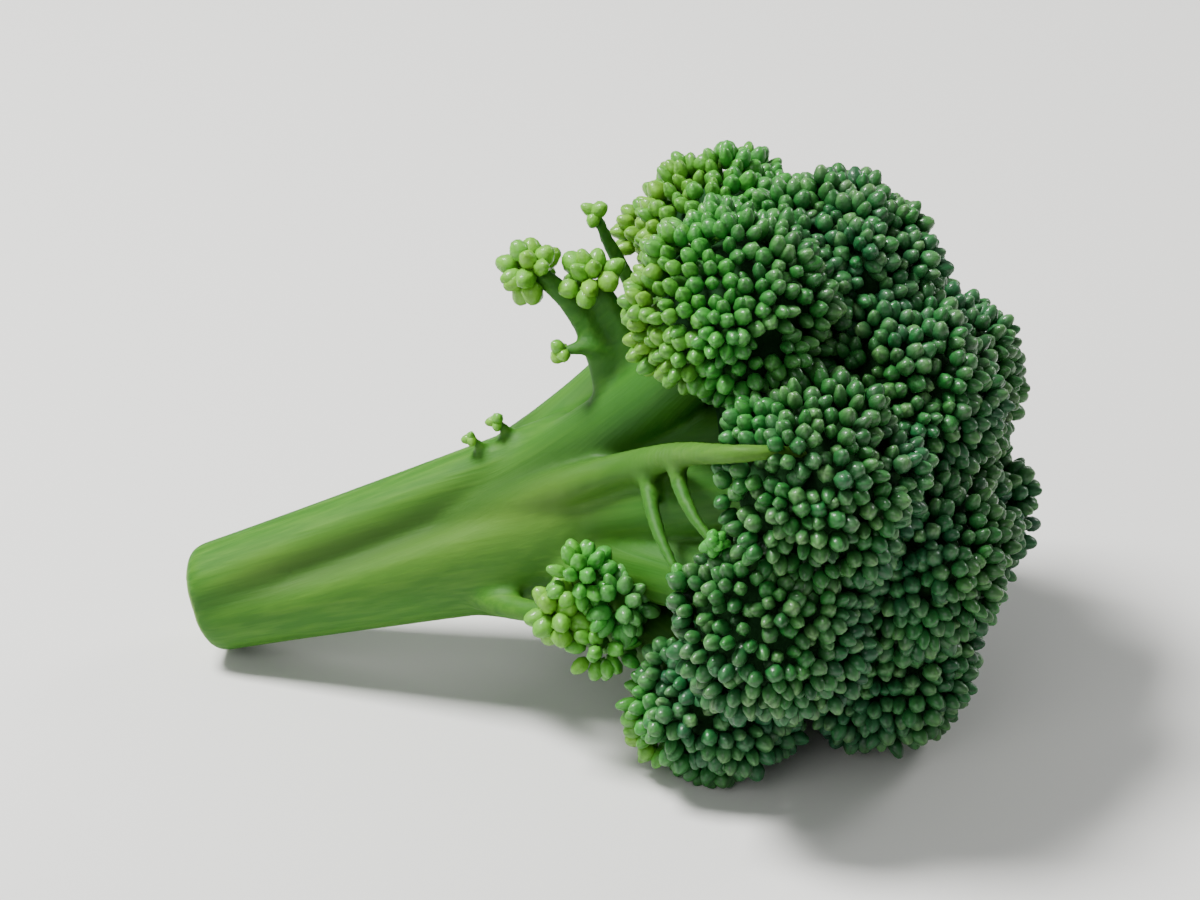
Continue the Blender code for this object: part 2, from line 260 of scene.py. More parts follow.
LOW_HEAD_SPAN = (9.0 * MM, 16.5 * MM)
TWIG_YOUNG = 0.5

# The stage, in metres. Each light has a name, a place, a size and a power in watts.
FLOOR_HALF = 1.5
FLOOR_DROP = 0.1 * MM
LIGHT_AIM = Vector((0, 0, 0.017))
LIGHTS = (
    ("key", (-0.20, 0.00, 0.40), 0.13, 5.0),
    ("front", (-0.12, -0.42, 0.30), 0.30, 0.8),
    ("rim", (0.28, 0.28, 0.24), 0.14, 0.8),
)
SKY_STRENGTH = 0.36
CAMERA_LENS = 150
CAMERA_AZIMUTH = math.radians(10)
CAMERA_ELEVATION = math.radians(28)
CAMERA_DISTANCE = 0.345
CAMERA_AIM = Vector((0.0, 0.0, 0.0185))


def unit(vectors):
    return vectors / np.linalg.norm(vectors, axis=-1, keepdims=True)


def ease(value, start, end):
    """0 before start and 1 after end, with a smooth rise between."""
    share = np.clip((value - start) / (end - start), 0, 1)
    return share * share * (3 - 2 * share)


def bell(apart, width):
    """1 where two things meet, falling off to both sides as exp(-(apart / width) squared)."""
    return np.exp(-((apart / width) ** 2))


def golden_cap(count, polar, turn, crowding=1):
    """Unit vectors round +Z between two polar angles: the cosine falls evenly with each, and each is turned a
    golden angle on from the last. Crowding over 1 packs them towards the first angle."""
    step = ((np.arange(count) + 0.5) / count) ** crowding
    cosine = math.cos(polar[0]) + (math.cos(polar[1]) - math.cos(polar[0])) * step
    sine = np.sqrt(1 - cosine**2)
    angle = turn + GOLDEN_ANGLE * np.arange(count)
    return np.stack([sine * np.cos(angle), sine * np.sin(angle), cosine], axis=1)


def polar_angle(directions):
    """The angle of each unit vector down from +Z."""
    return np.arccos(np.clip(directions[..., 2], -1, 1))


def frames_on(axes):
    """For each axis three square unit vectors as rows, the last of them the axis. The first is square to SIDE
    too, or to AXIS where the axis lies along SIDE."""
    aside = np.where(np.abs(axes[..., 1:2]) < ALONG_SIDE, SIDE, AXIS)
    across = unit(np.cross(axes, aside))
    return np.stack([across, np.cross(axes, across), axes], axis=-2)


def spun(frames, turns):
    """The frames turned about their last axis."""
    c, s = np.cos(turns)[:, None], np.sin(turns)[:, None]
    first, second, last = frames[:, 0], frames[:, 1], frames[:, 2]
    return np.stack([first * c + second * s, second * c - first * s, last], axis=1)


def near(points, marks, reach):
    """Whether each point lies within reach of any mark."""
    return np.linalg.norm(points[..., None, :] - marks, axis=-1).min(axis=-1) < reach


def rolled(rows, sides):
    """Triangles of a skin over rows of equal rings, with a pole point before the first and after the last.

    Row r, place i is point r * sides + i; the two poles are the last two points.
    """
    i = np.arange(sides)
    j = (i + 1) % sides
    low = np.arange(rows - 1)[:, None] * sides
    last = (rows - 1) * sides
    foot, head = rows * sides, rows * sides + 1
    faces = [
        np.stack([low + i, low + j, low + sides + j], -1),
        np.stack([low + i, low + sides + j, low + sides + i], -1),
        np.stack([j, i, np.full(sides, foot)], -1),
        np.stack([last + i, last + j, np.full(sides, head)], -1),
    ]
    return np.concatenate([part.reshape(-1, 3) for part in faces])


def tube(path, radii, sides):
    """A closed tube along a path that bends in one plane. At each path point is a ring, square to the path,
    of points place + radius * (cos(turn) * across + sin(turn) * over). Returns points and triangles."""
    along = unit(np.gradient(path, axis=0))
    bend = np.cross(along[0], along[-1])
    across = unit(bend) if np.linalg.norm(bend) > LEAST_BEND else frames_on(along[0])[0]
    over = unit(np.cross(along, across))
    turn = np.arange(sides)[:, None] * FULL_TURN / sides
    rings = path[:, None] + radii[:, None, None] * (np.cos(turn) * across + np.sin(turn) * over[:, None])
    points = np.concatenate([rings.reshape(-1, 3), path[:1], path[-1:]])
    return points, rolled(len(path), sides)


def curve_through(foot, bend, tip, steps):
    """Points on the quadratic curve that leaves foot towards bend and comes to tip from it."""
    t = np.linspace(0, 1, steps)[:, None]
    return foot * (1 - t) ** 2 + bend * 2 * t * (1 - t) + tip * t**2


def curve_along(marks, steps):
    """Points on a smooth curve through all the marks: between two of them a cubic whose speed at a mark is
    half the way from the mark before it to the mark after."""
    speed = np.gradient(marks, axis=0)
    just_short = len(marks) - 1.0001
    part, t = np.divmod(np.linspace(0, just_short, steps), 1)
    here, t = part.astype(int), t[:, None]
    start = (1 + 2 * t) * (1 - t) ** 2 * marks[here] + t * (1 - t) ** 2 * speed[here]
    return start + t * t * (3 - 2 * t) * marks[here + 1] + t * t * (t - 1) * speed[here + 1]


def thin_curves(feet, bends, tips):
    """The paths of thin stalks, from places along OVER, SIDE and AXIS."""
    ends = zip(feet, bends, tips)
    return [CROWN_CENTRE + curve_through(foot, bend, tip, THIN_STEPS) @ UPRIGHT for foot, bend, tip in ends]


def joined(shapes):
    """Several (points, triangles) as one."""
    starts = np.cumsum([0] + [len(points) for points, _ in shapes[:-1]])
    points = np.concatenate([points for points, _ in shapes])
    return points, np.concatenate([faces + start for (_, faces), start in zip(shapes, starts)])


def new_piece(name, points, triangles, finish, node, marks):
    """A smooth mesh from whole arrays, with its point attributes, none of it below the floor. It rides on the
    root and stands for a CAD node."""
    points = points.copy()
    points[:, 2] = np.maximum(points[:, 2], 0)
    mesh = bpy.data.meshes.new(name)
    mesh.vertices.add(len(points))
    mesh.vertices.foreach_set("co", points.astype(np.float32).ravel())
    mesh.loops.add(triangles.size)
    mesh.loops.foreach_set("vertex_index", triangles.astype(np.int32).ravel())
    mesh.polygons.add(len(triangles))
    mesh.polygons.foreach_set("loop_start", np.arange(len(triangles), dtype=np.int32) * 3)
    mesh.polygons.foreach_set("use_smooth", np.ones(len(triangles), bool))
    mesh.update(calc_edges=True)
    for mark, values in marks.items():
        kind, field = ("FLOAT_VECTOR", "vector") if values.ndim == 2 else ("FLOAT", "value")
        attribute = mesh.attributes.new(mark, kind, "POINT")
        attribute.data.foreach_set(field, values.astype(np.float32).ravel())
    mesh.materials.append(finish)
    piece = bpy.data.objects.new(name, mesh)
    bpy.context.scene.collection.objects.link(piece)
    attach(piece, "root")
    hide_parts(node)


# Materials. Each colour is laid over the one so far by a Mix node: its socket 0 takes the share, 6 the colour
# so far and 7 the new one. A Mix node of plain numbers takes them in 2 and 3.


def linear(hex_colour):
    """An sRGB hex colour as linear red, green, blue and alpha."""
    parts = np.array([int(hex_colour[i : i + 2], 16) for i in (1, 3, 5)]) / 255
    return (*np.where(parts <= 0.04045, parts / 12.92, ((parts + 0.055) / 1.055) ** 2.4), 1)


def add(tree, kind, inputs, **settings):
    """Adds a shader node. Each input is a value, or the socket that it is linked from."""
    made = tree.nodes.new("ShaderNode" + kind)
    for name, value in settings.items():
        setattr(made, name, value)
    for name, value in inputs.items():
        if isinstance(value, bpy.types.NodeSocket):
            tree.links.new(value, made.inputs[name])
        else:
            made.inputs[name].default_value = value
    return made


def new_finish(name, constants):
    """A material, its node tree, and its Principled shader with constant values on its own sockets."""
    finish = bpy.data.materials.new(name)
    finish.use_nodes = True
    shader = finish.node_tree.nodes["Principled BSDF"]
    for socket, value in constants.items():
        shader.inputs[socket].default_value = value
    return finish, finish.node_tree, shader


def link_all(tree, shader, sources):
    """Links each named socket of the shader from its source."""
    for socket, source in sources.items():
        tree.links.new(source, shader.inputs[socket])


def bud_finish():
    """Flower buds of raw broccoli: a waxy, slightly wet skin, so dark green with small sharp glints, and a
    pale tip that is partly dusty bloom and partly a painted highlight.

    The colour varies from bud to bud, and in bluish patches some 13 mm wide. It pales to the tip, yellows
    where the bud is young, and darkens along the seams. Painted shade darkens it in the gaps between buds and
    towards each bud's foot. The skin's real grain is finer than shows, so it is drawn 0.3 mm wide.
    """
    constants = {"IOR": 1.45, "Specular IOR Level": 0.35, "Coat Weight": 0.3, "Coat Roughness": 0.07}
    finish, tree, shader = new_finish("waxy broccoli buds", constants)
    place = add(tree, "TexCoord", {}).outputs["Object"]
    tone, tip, painted_gap_shade, young, seam = (
        add(tree, "Attribute", {}, attribute_name=mark).outputs["Fac"]
        for mark in ("tone", "tip", "painted_gap_shade", "young", "seam"))
    patches, wide, grain = (
        add(tree, "TexNoise", {"Vector": place, "Scale": 1 / width, "Detail": detail}).outputs["Fac"]
        for width, detail in ((9 * MM, 2.0), (13 * MM, 1.0), (0.3 * MM, 3.0)))
    tone = add(tree, "Mix", {0: 0.45, 2: tone, 3: patches}).outputs[0]
    blue = add(
        tree, "MapRange", {"Value": wide, "From Min": 0.48, "From Max": 0.66, "To Max": 0.6}).outputs[0]
    # A bud turns fresh green until it is half young, and from there on yellow-green.
    pale, fresh, line = (
        add(tree, "Math", {0: mark, 1: by}, operation="MULTIPLY").outputs[0]
        for mark, by in ((tip, 0.7), (young, 2.0), (seam, 0.55)))
    yellow = add(tree, "Math", {0: fresh, 1: 1.0}, operation="SUBTRACT").outputs[0]
    colour = linear("#083b18")
    # Painted light: the pale tip colour #7aa562 is partly dusty bloom and partly a painted highlight, and the
    # last colour, #0a2c10, is painted shade in the gaps between buds and at their feet.
    for share, over in ((tone, "#1d7227"), (blue, "#0b5440"), (pale, "#7aa562"), (fresh, "#3c9630"),
                        (yellow, "#70aa28"), (line, "#0c2410"), (painted_gap_shade, "#0a2c10")):
        colour = add(tree, "Mix", {0: share, 6: colour, 7: linear(over)}, data_type="RGBA").outputs[2]
    rough = add(tree, "MapRange", {"Value": grain, "To Min": 0.42, "To Max": 0.62}).outputs[0]
    bump = add(tree, "Bump", {"Height": grain, "Strength": 0.7, "Distance": 0.09 * MM}).outputs[0]
    link_all(tree, shader, {"Base Color": colour, "Roughness": rough, "Normal": bump})
    return finish


def stalk_finish():
    """The peel of a raw broccoli stalk: satin, darker in its grooves by painted shade, with light that passes
    a little way into the flesh. Its fibres run lengthwise, about 0.45 mm apart, with threads of 0.2 mm
    between.

    Near the crown it deepens to the buds' green. The cut face is dull, with a paler ring of bundles round a
    pale pith.
    """
    constants = {"IOR": 1.42, "Specular IOR Level": 0.3, "Subsurface Weight": 0.2,
                 "Subsurface Radius": (0.6, 1.0, 0.25), "Subsurface Scale": 1.2 * MM}
    finish, tree, shader = new_finish("broccoli stalk peel", constants)
    place = add(tree, "TexCoord", {}).outputs["Object"]
    grain = add(tree, "Attribute", {}, attribute_name="grain").outputs["Vector"]
    up, cut, pale, dent, pith, ring = (
        add(tree, "Attribute", {}, attribute_name=mark).outputs["Fac"]
        for mark in ("up", "cut", "pale", "dent", "pith", "ring"))
    drawn = [
        add(tree, "Mapping", {"Vector": grain, "Scale": (1 / across, 1 / across, 1 / along)}).outputs[0]
        for across, along in ((0.45 * MM, 9 * MM), (0.2 * MM, 20 * MM))]
    fibres, threads = (
        add(tree, "TexNoise", {"Vector": strands, "Scale": 1.0, "Detail": detail}).outputs["Fac"]
        for strands, detail in zip(drawn, (3.0, 2.0)))
    blotches, dots = (
        add(tree, "TexNoise", {"Vector": place, "Scale": 1 / width, "Detail": detail}).outputs["Fac"]
        for width, detail in ((7 * MM, 3.0), (0.35 * MM, 2.0)))
    streak, sharp = (
        add(tree, "MapRange", {"Value": value, "From Min": low, "From Max": high, "To Max": most}).outputs[0]
        for value, low, high, most in ((fibres, 0.42, 0.72, 0.38), (dots, 0.4, 0.6, 1.0)))
    # Painted shade: the peel darkens towards #22480d where the grooves dent it.
    shade, green, pith, bundles = (
        add(tree, "Math", {0: mark, 1: by}, operation="MULTIPLY").outputs[0]
        for mark, by in ((dent, 0.75), (up, 0.6), (pith, dots), (ring, sharp)))
    colour = linear("#275910")
    for share, over in ((blotches, "#397017"), (streak, "#5c8a29"), (pale, "#517424"), (shade, "#22480d"),
                        (green, "#225a14"), (cut, "#6f9040"), (pith, "#c3cf90"), (bundles, "#d3dcae")):
        colour = add(tree, "Mix", {0: share, 6: colour, 7: linear(over)}, data_type="RGBA").outputs[2]
    rough = add(tree, "MapRange", {"Value": blotches, "To Min": 0.52, "To Max": 0.68}).outputs[0]
    low = add(tree, "Bump", {"Height": threads, "Strength": 0.25, "Distance": 0.05 * MM}).outputs[0]
    bump = add(
        tree, "Bump", {"Height": fibres, "Strength": 0.5, "Distance": 0.12 * MM, "Normal": low}).outputs[0]
    link_all(tree, shader, {"Base Color": colour, "Roughness": rough, "Normal": bump})
    return finish


def flesh_finish():
    """The matted flesh between the tufts: rough and dull, and dark green, its darkness partly painted shade
    for the gaps. It is paler where it thins to the branchlets. Its clods are about 1.1 mm wide."""
    constants = {"Roughness": 0.9, "Specular IOR Level": 0.15}
    finish, tree, shader = new_finish("flesh between the buds", constants)
    place = add(tree, "TexCoord", {}).outputs["Object"]
    pale = add(tree, "Attribute", {}, attribute_name="pale").outputs["Fac"]
    clods = add(tree, "TexNoise", {"Vector": place, "Scale": 1 / (1.1 * MM), "Detail": 3.0}).outputs["Fac"]
    # Partly painted shade: these dark greens stand in for the shade in the gaps between tufts.
    colour = linear("#0b2811")
    for share, over in ((clods, "#1b481c"), (pale, "#3d6426")):
        colour = add(tree, "Mix", {0: share, 6: colour, 7: linear(over)}, data_type="RGBA").outputs[2]
    bump = add(tree, "Bump", {"Height": clods, "Strength": 0.8, "Distance": 0.4 * MM}).outputs[0]
    link_all(tree, shader, {"Base Color": colour, "Normal": bump})
    return finish


# The crown


def plan_boughs(random):
    """Centres, axes and radii of the boughs, which are the crown's domes: those spread over a cap by the
    golden angle, the one low by the fork, and a small one that fills the gap in the crown's front."""
    cap = golden_cap(BOUGH_COUNT, BOUGH_POLAR, BOUGH_TURN, BOUGH_CROWDING)
    radii = BOUGH_RADIUS * random.uniform(1 - BOUGH_SPREAD, 1 + BOUGH_SPREAD, BOUGH_COUNT)
    places = np.vstack([cap * (CROWN_HALF - radii[:, None]), LOW_BOUGH_PLACE, INNER_BOUGH_PLACE])
    radii = np.append(radii, [LOW_BOUGH_RADIUS, INNER_BOUGH_RADIUS])
    axes = unit(places + [0, 0, FAN_DEPTH]) @ UPRIGHT
    centres = CROWN_CENTRE + places @ UPRIGHT
    return centres, axes, radii


def plan_tufts(boughs, random):
    """Each bough's cells as in the CAD model: local directions, which of them carry a tuft, and the lobes.
    Here tufts also fill the valleys between boughs, down to TUFT_COVER inside the next one."""
    centres, axes, radii = boughs
    plans = []
    for own in range(len(radii)):
        lobes = golden_cap(LOBE_COUNT, (0, math.pi), random.uniform(0, FULL_TURN))
        cells = golden_cap(TUFT_CELLS, (0, math.pi), random.uniform(0, FULL_TURN))
        cells = unit(cells + random.normal(0, TUFT_JITTER, cells.shape))
        at = centres[own] + cells @ frames_on(axes[own]) * radii[own]
        raised = (cells[:, 2] > math.cos(TUFT_FADE[1])) & ~within_others(at, centres, radii, own, TUFT_COVER)
        plans.append((cells, raised, lobes))
    return plans


def within_others(points, centres, radii, own, margin):
    """Whether each point lies deeper than margin inside a bough other than its own."""
    depth = radii - np.linalg.norm(points[..., None, :] - centres, axis=-1)
    depth[..., own] = -1
    return depth.max(axis=-1) > margin


def bough_ground(outward, radius, lobes):
    """The bough's low surface: a ball, less LOBE_HEIGHT away from its lobes, drawn in by TAPER underneath."""
    apart = np.arccos(np.clip(outward @ lobes.T, -1, 1))
    swell = bell(apart, LOBE_WIDTH).max(axis=-1)
    taper = 1 - TAPER * ease(polar_angle(outward), *TAPER_SPAN)
    return (radius - TUFT_HEIGHT - LOBE_HEIGHT * (1 - swell)) * taper


def free_to_stand(feet, hearts, own, boughs, bare):
    """Whether each bud stands above the floor, not deep inside another bough, and clear of the two bare
    places: along the pale branch, and in the gap below it."""
    centres, _, radii = boughs
    gap = CROWN_CENTRE + BARE_PLACE @ UPRIGHT
    clear = ~near(hearts, bare, BARE_BESIDE) & ~near(hearts, gap, BARE_RADIUS)
    return clear & (feet[..., 2] > FLOOR_GAP) & ~within_others(feet, centres, radii, own, BUD_COVER)


def tuft_buds(own, boughs, plan, bare, random):
    """The buds of one bough's tufts: feet, leans, lengths, and how far out each stands in its tuft, 0 to 1.

    Each tuft is a ball with its buds' tips on it by the golden angle, as they grow. A bud leans away from a
    place below the ball's middle. It is left out past the border with the next tuft, and where it isn't free
    to stand.
    """
    centres, axes, radii = boughs
    cells, raised, lobes = plan
    square = frames_on(axes[own])
    heads = cells[raised]
    fading = TUFT_FADING * ease(polar_angle(heads), *TUFT_FADE)
    tops = bough_ground(heads, radii[own], lobes) + TUFT_HEIGHT * (1 - fading)
    sizes = TUFT_RADIUS * random.uniform(*TUFT_SIZES, len(heads))
    middles = (heads * (tops - sizes)[:, None])[:, None]
    spread = golden_cap(TUFT_BUDS, (0, TUFT_OPENING), 0.0)
    turned = spun(frames_on(heads), random.uniform(0, FULL_TURN, len(heads)))
    ways = unit(spread @ turned + random.normal(0, BUD_STRAY, (len(heads), TUFT_BUDS, 3)))
    lengths = BUD_LENGTH * random.uniform(*TUFT_BUD_LENGTHS, ways.shape[:2])
    lift = random.normal(0, BUD_LIFT, ways.shape[:2])
    tips = middles + ways * (sizes[:, None] + lift)[..., None]
    leans = unit(tips - middles + heads[:, None] * LEAN_OUT + random.normal(0, LEAN_STRAY, tips.shape))
    feet = centres[own] + (tips - leans * lengths[..., None]) @ square
    hearts = feet + (leans * lengths[..., None] * TUFT_BUD_HEART) @ square
    outward = unit(tips)
    nearest = (outward @ cells.T).max(axis=-1)
    kept = (outward * heads[:, None]).sum(-1) > nearest - TUFT_OVERLAP
    kept &= free_to_stand(feet, hearts, own, boughs, bare)
    edge = 1 - (spread[:, 2] - math.cos(TUFT_OPENING)) / (1 - math.cos(TUFT_OPENING))
    return feet[kept], (leans @ square)[kept], lengths[kept], np.broadcast_to(edge, kept.shape)[kept]


def bough_buds(own, boughs, plan, bare, random):
    """The buds of one bough: those of its tufts, and more on the ground where those leave a gap."""
    centres, axes, radii = boughs
    feet, leans, lengths, edge = tuft_buds(own, boughs, plan, bare, random)
    square = frames_on(axes[own])
    fill = golden_cap(FILL_BUDS, (0, TUFT_FADE[1]), 0.0)
    fill = unit(fill + random.normal(0, FILL_SCATTER, fill.shape))
    ground = bough_ground(fill, radii[own], plan[2]) - CORE_SINK
    fill_feet = centres[own] + (fill * ground[:, None]) @ square
    fill_leans = unit(fill @ square + random.normal(0, FILL_STRAY, fill.shape))
    fill_lengths = BUD_LENGTH * random.uniform(*FILL_LENGTHS, FILL_BUDS)
    hearts = fill_feet + fill_leans * fill_lengths[:, None] * FILL_BUD_HEART
    free = ~near(hearts, feet + leans * lengths[:, None] / 2, FILL_APART)
    free &= free_to_stand(fill_feet, hearts, own, boughs, bare)
    return (np.vstack([feet, fill_feet[free]]), np.vstack([leans, fill_leans[free]]),
            np.append(lengths, fill_lengths[free]), np.append(edge, np.ones(free.sum())))


def bud_template():
    """A closed bud of length and radius one: rings of radius sin(pi * rise ** BUD_LOWNESS) ** BUD_BLUNTNESS,
    drawn in by LAP_DEPTH between BUD_LAPS laps that meet at the tip. Returns points, triangles, and each
    point's rise and seam."""
    turn = np.arange(BUD_SIDES) * FULL_TURN / BUD_SIDES
    rise = BUD_RINGS[:, None]
    seam = rise * (0.5 - 0.5 * np.cos(BUD_LAPS * turn))
    reach = np.sin(math.pi * rise**BUD_LOWNESS) ** BUD_BLUNTNESS * (1 - LAP_DEPTH * seam)
    rings = np.stack([reach * np.cos(turn), reach * np.sin(turn), np.repeat(rise, BUD_SIDES, 1)], -1)
    points = np.concatenate([rings.reshape(-1, 3), [[0, 0, 0], [0, 0, BUD_TIP]]])
    seams = np.concatenate([seam.ravel(), [0, TIP_SEAM]])
    return points, rolled(len(rise), BUD_SIDES), points[:, 2].copy(), seams


def stamped(template, feet, frames, widths, lengths):
    """The template on each foot, made as wide and long as given there and turned to the frame there."""
    points, faces = template[:2]
    scales = np.stack([widths, widths, lengths], -1)
    placed = feet[:, None] + (points * scales[:, None]) @ frames
    starts = np.arange(len(feet))[:, None, None] * len(points)
    return placed.reshape(-1, 3), (faces + starts).reshape(-1, 3)


def add_crown_buds(boughs, plans, bare, skin, random):
    """The crown's buds, in three pieces. They are young, so yellower, on the stalk's side of the upper boughs
    and at the ends nearest the stalk. Each has its own tone, and its own share of a pale tip that is partly
    bloom and partly a painted highlight. Painted shade darkens them at a tuft's edge and towards each foot."""
    template = bud_template()
    rise, seam = template[2:]
    batches = [bough_buds(own, boughs, plans[own], bare, random) for own in range(len(plans))]
    for name, chosen in BUD_PIECES.items():
        feet, leans, lengths, edge = (np.concatenate([batches[own][k] for own in chosen]) for k in range(4))
        count = len(feet)
        frames = spun(frames_on(leans), random.uniform(0, FULL_TURN, count))
        widths = BUD_RADIUS * random.uniform(*BUD_WIDTHS, count)
        over, _, ahead = ((feet - CROWN_CENTRE) @ UPRIGHT.T).T
        upper = YOUNG_UPPER * ease(-ahead, *YOUNG_UPPER_BEHIND) * ease(over, *YOUNG_UPPER_OVER)
        young = np.maximum(upper, ease(-ahead, *YOUNG_REAR_BEHIND))
        young = young * random.uniform(*YOUNG_SPREAD, count) + random.uniform(*YOUNG_EXTRA, count)
        young = np.clip(young, 0, 1)
        # Each bud's share of pale tip, which is partly bloom and partly a painted highlight.
        bloom_and_highlight = random.uniform(*BLOOM_AND_HIGHLIGHT, count) ** 2
        tone = random.uniform(0, 1, count)
        # Painted shade: darker at a tuft's edge and towards each bud's foot, less so where the bud is young.
        shade = np.clip((edge**3 * EDGE_SHADE)[:, None] + (1 - rise) * FOOT_SHADE, 0, 1)
        shade *= (1 - YOUNG_SHADE_LOSS * young)[:, None]
        marks = {
            "tone": np.repeat(tone, len(rise)),
            "tip": (bloom_and_highlight[:, None] * rise**3).ravel(),
            "painted_gap_shade": shade.ravel(),
            "young": np.repeat(young, len(rise)),
            "seam": np.tile(seam, count),
        }
        points, faces = stamped(template, feet, frames, widths, lengths)
        new_piece(name, points, faces, skin, "crown", marks)


def add_crown_flesh(boughs, plans, flesh):
    """The ground that the buds stand on: each bough's low surface, sunk by CORE_SINK and thinned underneath,
    and an egg in the crown's middle, as in the CAD model."""
    centres, axes, radii = boughs
    polar = np.linspace(FLESH_POLE, math.pi - FLESH_POLE, FLESH_ROWS)[:, None]
    turn = np.arange(FLESH_SIDES) * FULL_TURN / FLESH_SIDES
    ball = np.broadcast_arrays(np.sin(polar) * np.cos(turn), np.sin(polar) * np.sin(turn), np.cos(polar))
    ball = np.concatenate([np.stack(ball, -1).reshape(-1, 3)[::-1], [[0, 0, -1], [0, 0, 1]]])
    down = polar_angle(ball)
    thin = 1 - FLESH_THINNING * ease(down, *FLESH_THIN_SPAN)
    faces = rolled(FLESH_ROWS, FLESH_SIDES)
    shapes = []
    for own in range(len(radii)):
        reach = (bough_ground(ball, radii[own], plans[own][2]) - CORE_SINK) * thin
        shapes.append((centres[own] + (ball * reach[:, None]) @ frames_on(axes[own]), faces))
    shapes.append((CROWN_CENTRE + AXIS * CORE_AHEAD + (ball * CORE_HALF) @ frames_on(AXIS), faces))
    pale = np.append(np.tile(ease(down, *FLESH_PALE_SPAN), len(radii)), np.zeros(len(ball)))
    points, faces = joined(shapes)
    new_piece("crown_flesh", points, faces, flesh, "crown", {"pale": pale})


# The stalk


def groove_dents(turn, rise):
    """How deep all grooves, and the main one alone, dent the stalk: bell curves of the angle from each
    groove. The main groove, in front, winds up towards the fork."""
    twists = MAIN_GROOVE_TWIST * (np.arange(len(GROOVE_TURNS)) == MAIN_GROOVE)
    places = GROOVE_TURNS + twists * rise[..., None]
    apart = np.angle(np.exp(1j * (turn[..., None] - places)))
    bells = bell(apart, GROOVE_WIDTH)
    return bells.sum(axis=-1), bells[..., MAIN_GROOVE]


def trunk():
    """The stalk: a ring about every half millimetre along the axis. Its radius grows from the cut end to the
    fork as rise ** WIDENING, and rounds off inside the crown as an ellipse. Grooves dent it, and the cut
    end's rim is rounded by a quarter of an ellipse."""
    turn = -np.arange(TRUNK_SIDES) * FULL_TURN / TRUNK_SIDES
    place = np.linspace(CUT_END, STALK_HEAD, TRUNK_ROWS)[:, None]
    rise = np.minimum(1, (place - CUT_END) / (FORK_AT - CUT_END))
    past = np.maximum(0, (place - FORK_AT) / (STALK_HEAD - FORK_AT))
    radius = (CUT_RADIUS + (FORK_RADIUS - CUT_RADIUS) * rise**WIDENING) * np.sqrt(1 - HEAD_ROUNDING * past**2)
    inset = np.clip(1 - (place - CUT_END) / CUT_ROUNDING, 0, 1)
    radius = radius - CUT_INSET * (1 - np.sqrt(1 - inset**2))
    depth = GROOVE_DEPTH[0] + (GROOVE_DEPTH[1] - GROOVE_DEPTH[0]) * rise**2
    dent, main_dent = groove_dents(*np.broadcast_arrays(turn, rise))
    reach = radius * (1 - depth * dent - MAIN_GROOVE_DEPTH * ease(rise, *MAIN_GROOVE_START) * main_dent)
    round_it = np.cos(turn)[:, None] * OVER + np.sin(turn)[:, None] * SIDE
    rings = CROWN_CENTRE + AXIS * place[..., None] + reach[..., None] * round_it
    ends = [CROWN_CENTRE + AXIS * CUT_END, CROWN_CENTRE + AXIS * STALK_HEAD]
    return np.concatenate([rings.reshape(-1, 3), ends]), rolled(TRUNK_ROWS, TRUNK_SIDES)


def branch_path(centre, axis, radius):
    """A branch parts from the stalk at a slant and bends out to end inside a bough."""
    tip = centre - axis * radius * BRANCH_TIP_SHORT
    height = (tip - CROWN_CENTRE) @ AXIS
    sideways = unit(tip - CROWN_CENTRE - AXIS * height)
    foot = CROWN_CENTRE + AXIS * (BRANCH_FOOT + height * BRANCH_FOOT_LIFT) + sideways * BRANCH_FOOT_OUT
    bend = foot + unit(AXIS + sideways * BRANCH_SLANT) * BRANCH_STRAIGHT * np.linalg.norm(tip - foot)
    return curve_through(foot, bend, tip, BRANCH_STEPS)


def fused(points, triangles):
    """The overlapping tubes as one skin: remeshed in cubes of STALK_VOXEL, then each point is drawn
    STALK_SMOOTHING times by STALK_SOFTENING towards the mean of its neighbours, so that the forks get
    fillets. Returns points and triangles."""
    mesh = bpy.data.meshes.new("fused")
    mesh.from_pydata(points.tolist(), [], triangles.tolist())
    thing = bpy.data.objects.new("fused", mesh)
    bpy.context.scene.collection.objects.link(thing)
    skin = thing.modifiers.new("skin", "REMESH")
    skin.mode = "VOXEL"
    skin.voxel_size = STALK_VOXEL
    bpy.context.view_layer.update()
    made = bpy.data.meshes.new_from_object(thing.evaluated_get(bpy.context.evaluated_depsgraph_get()))
    bpy.data.objects.remove(thing)
    made.calc_loop_triangles()
    points = np.empty(len(made.vertices) * 3, np.float32)
    made.vertices.foreach_get("co", points)
    points = points.reshape(-1, 3).astype(float)
    triangles = np.empty(len(made.loop_triangles) * 3, np.int32)
    made.loop_triangles.foreach_get("vertices", triangles)
    edges = np.empty(len(made.edges) * 2, np.int32)
    made.edges.foreach_get("vertices", edges)
    a, b = edges.reshape(-1, 2).T
    count = np.bincount(np.concatenate([a, b]), minlength=len(points))[:, None]
    for _ in range(STALK_SMOOTHING):
        total = [np.bincount(a, points[b, k], len(points)) + np.bincount(b, points[a, k], len(points))
                 for k in range(3)]
        points = points * (1 - STALK_SOFTENING) + np.stack(total, 1) / count * STALK_SOFTENING
    bpy.data.meshes.remove(made)
    return points, triangles.reshape(-1, 3)


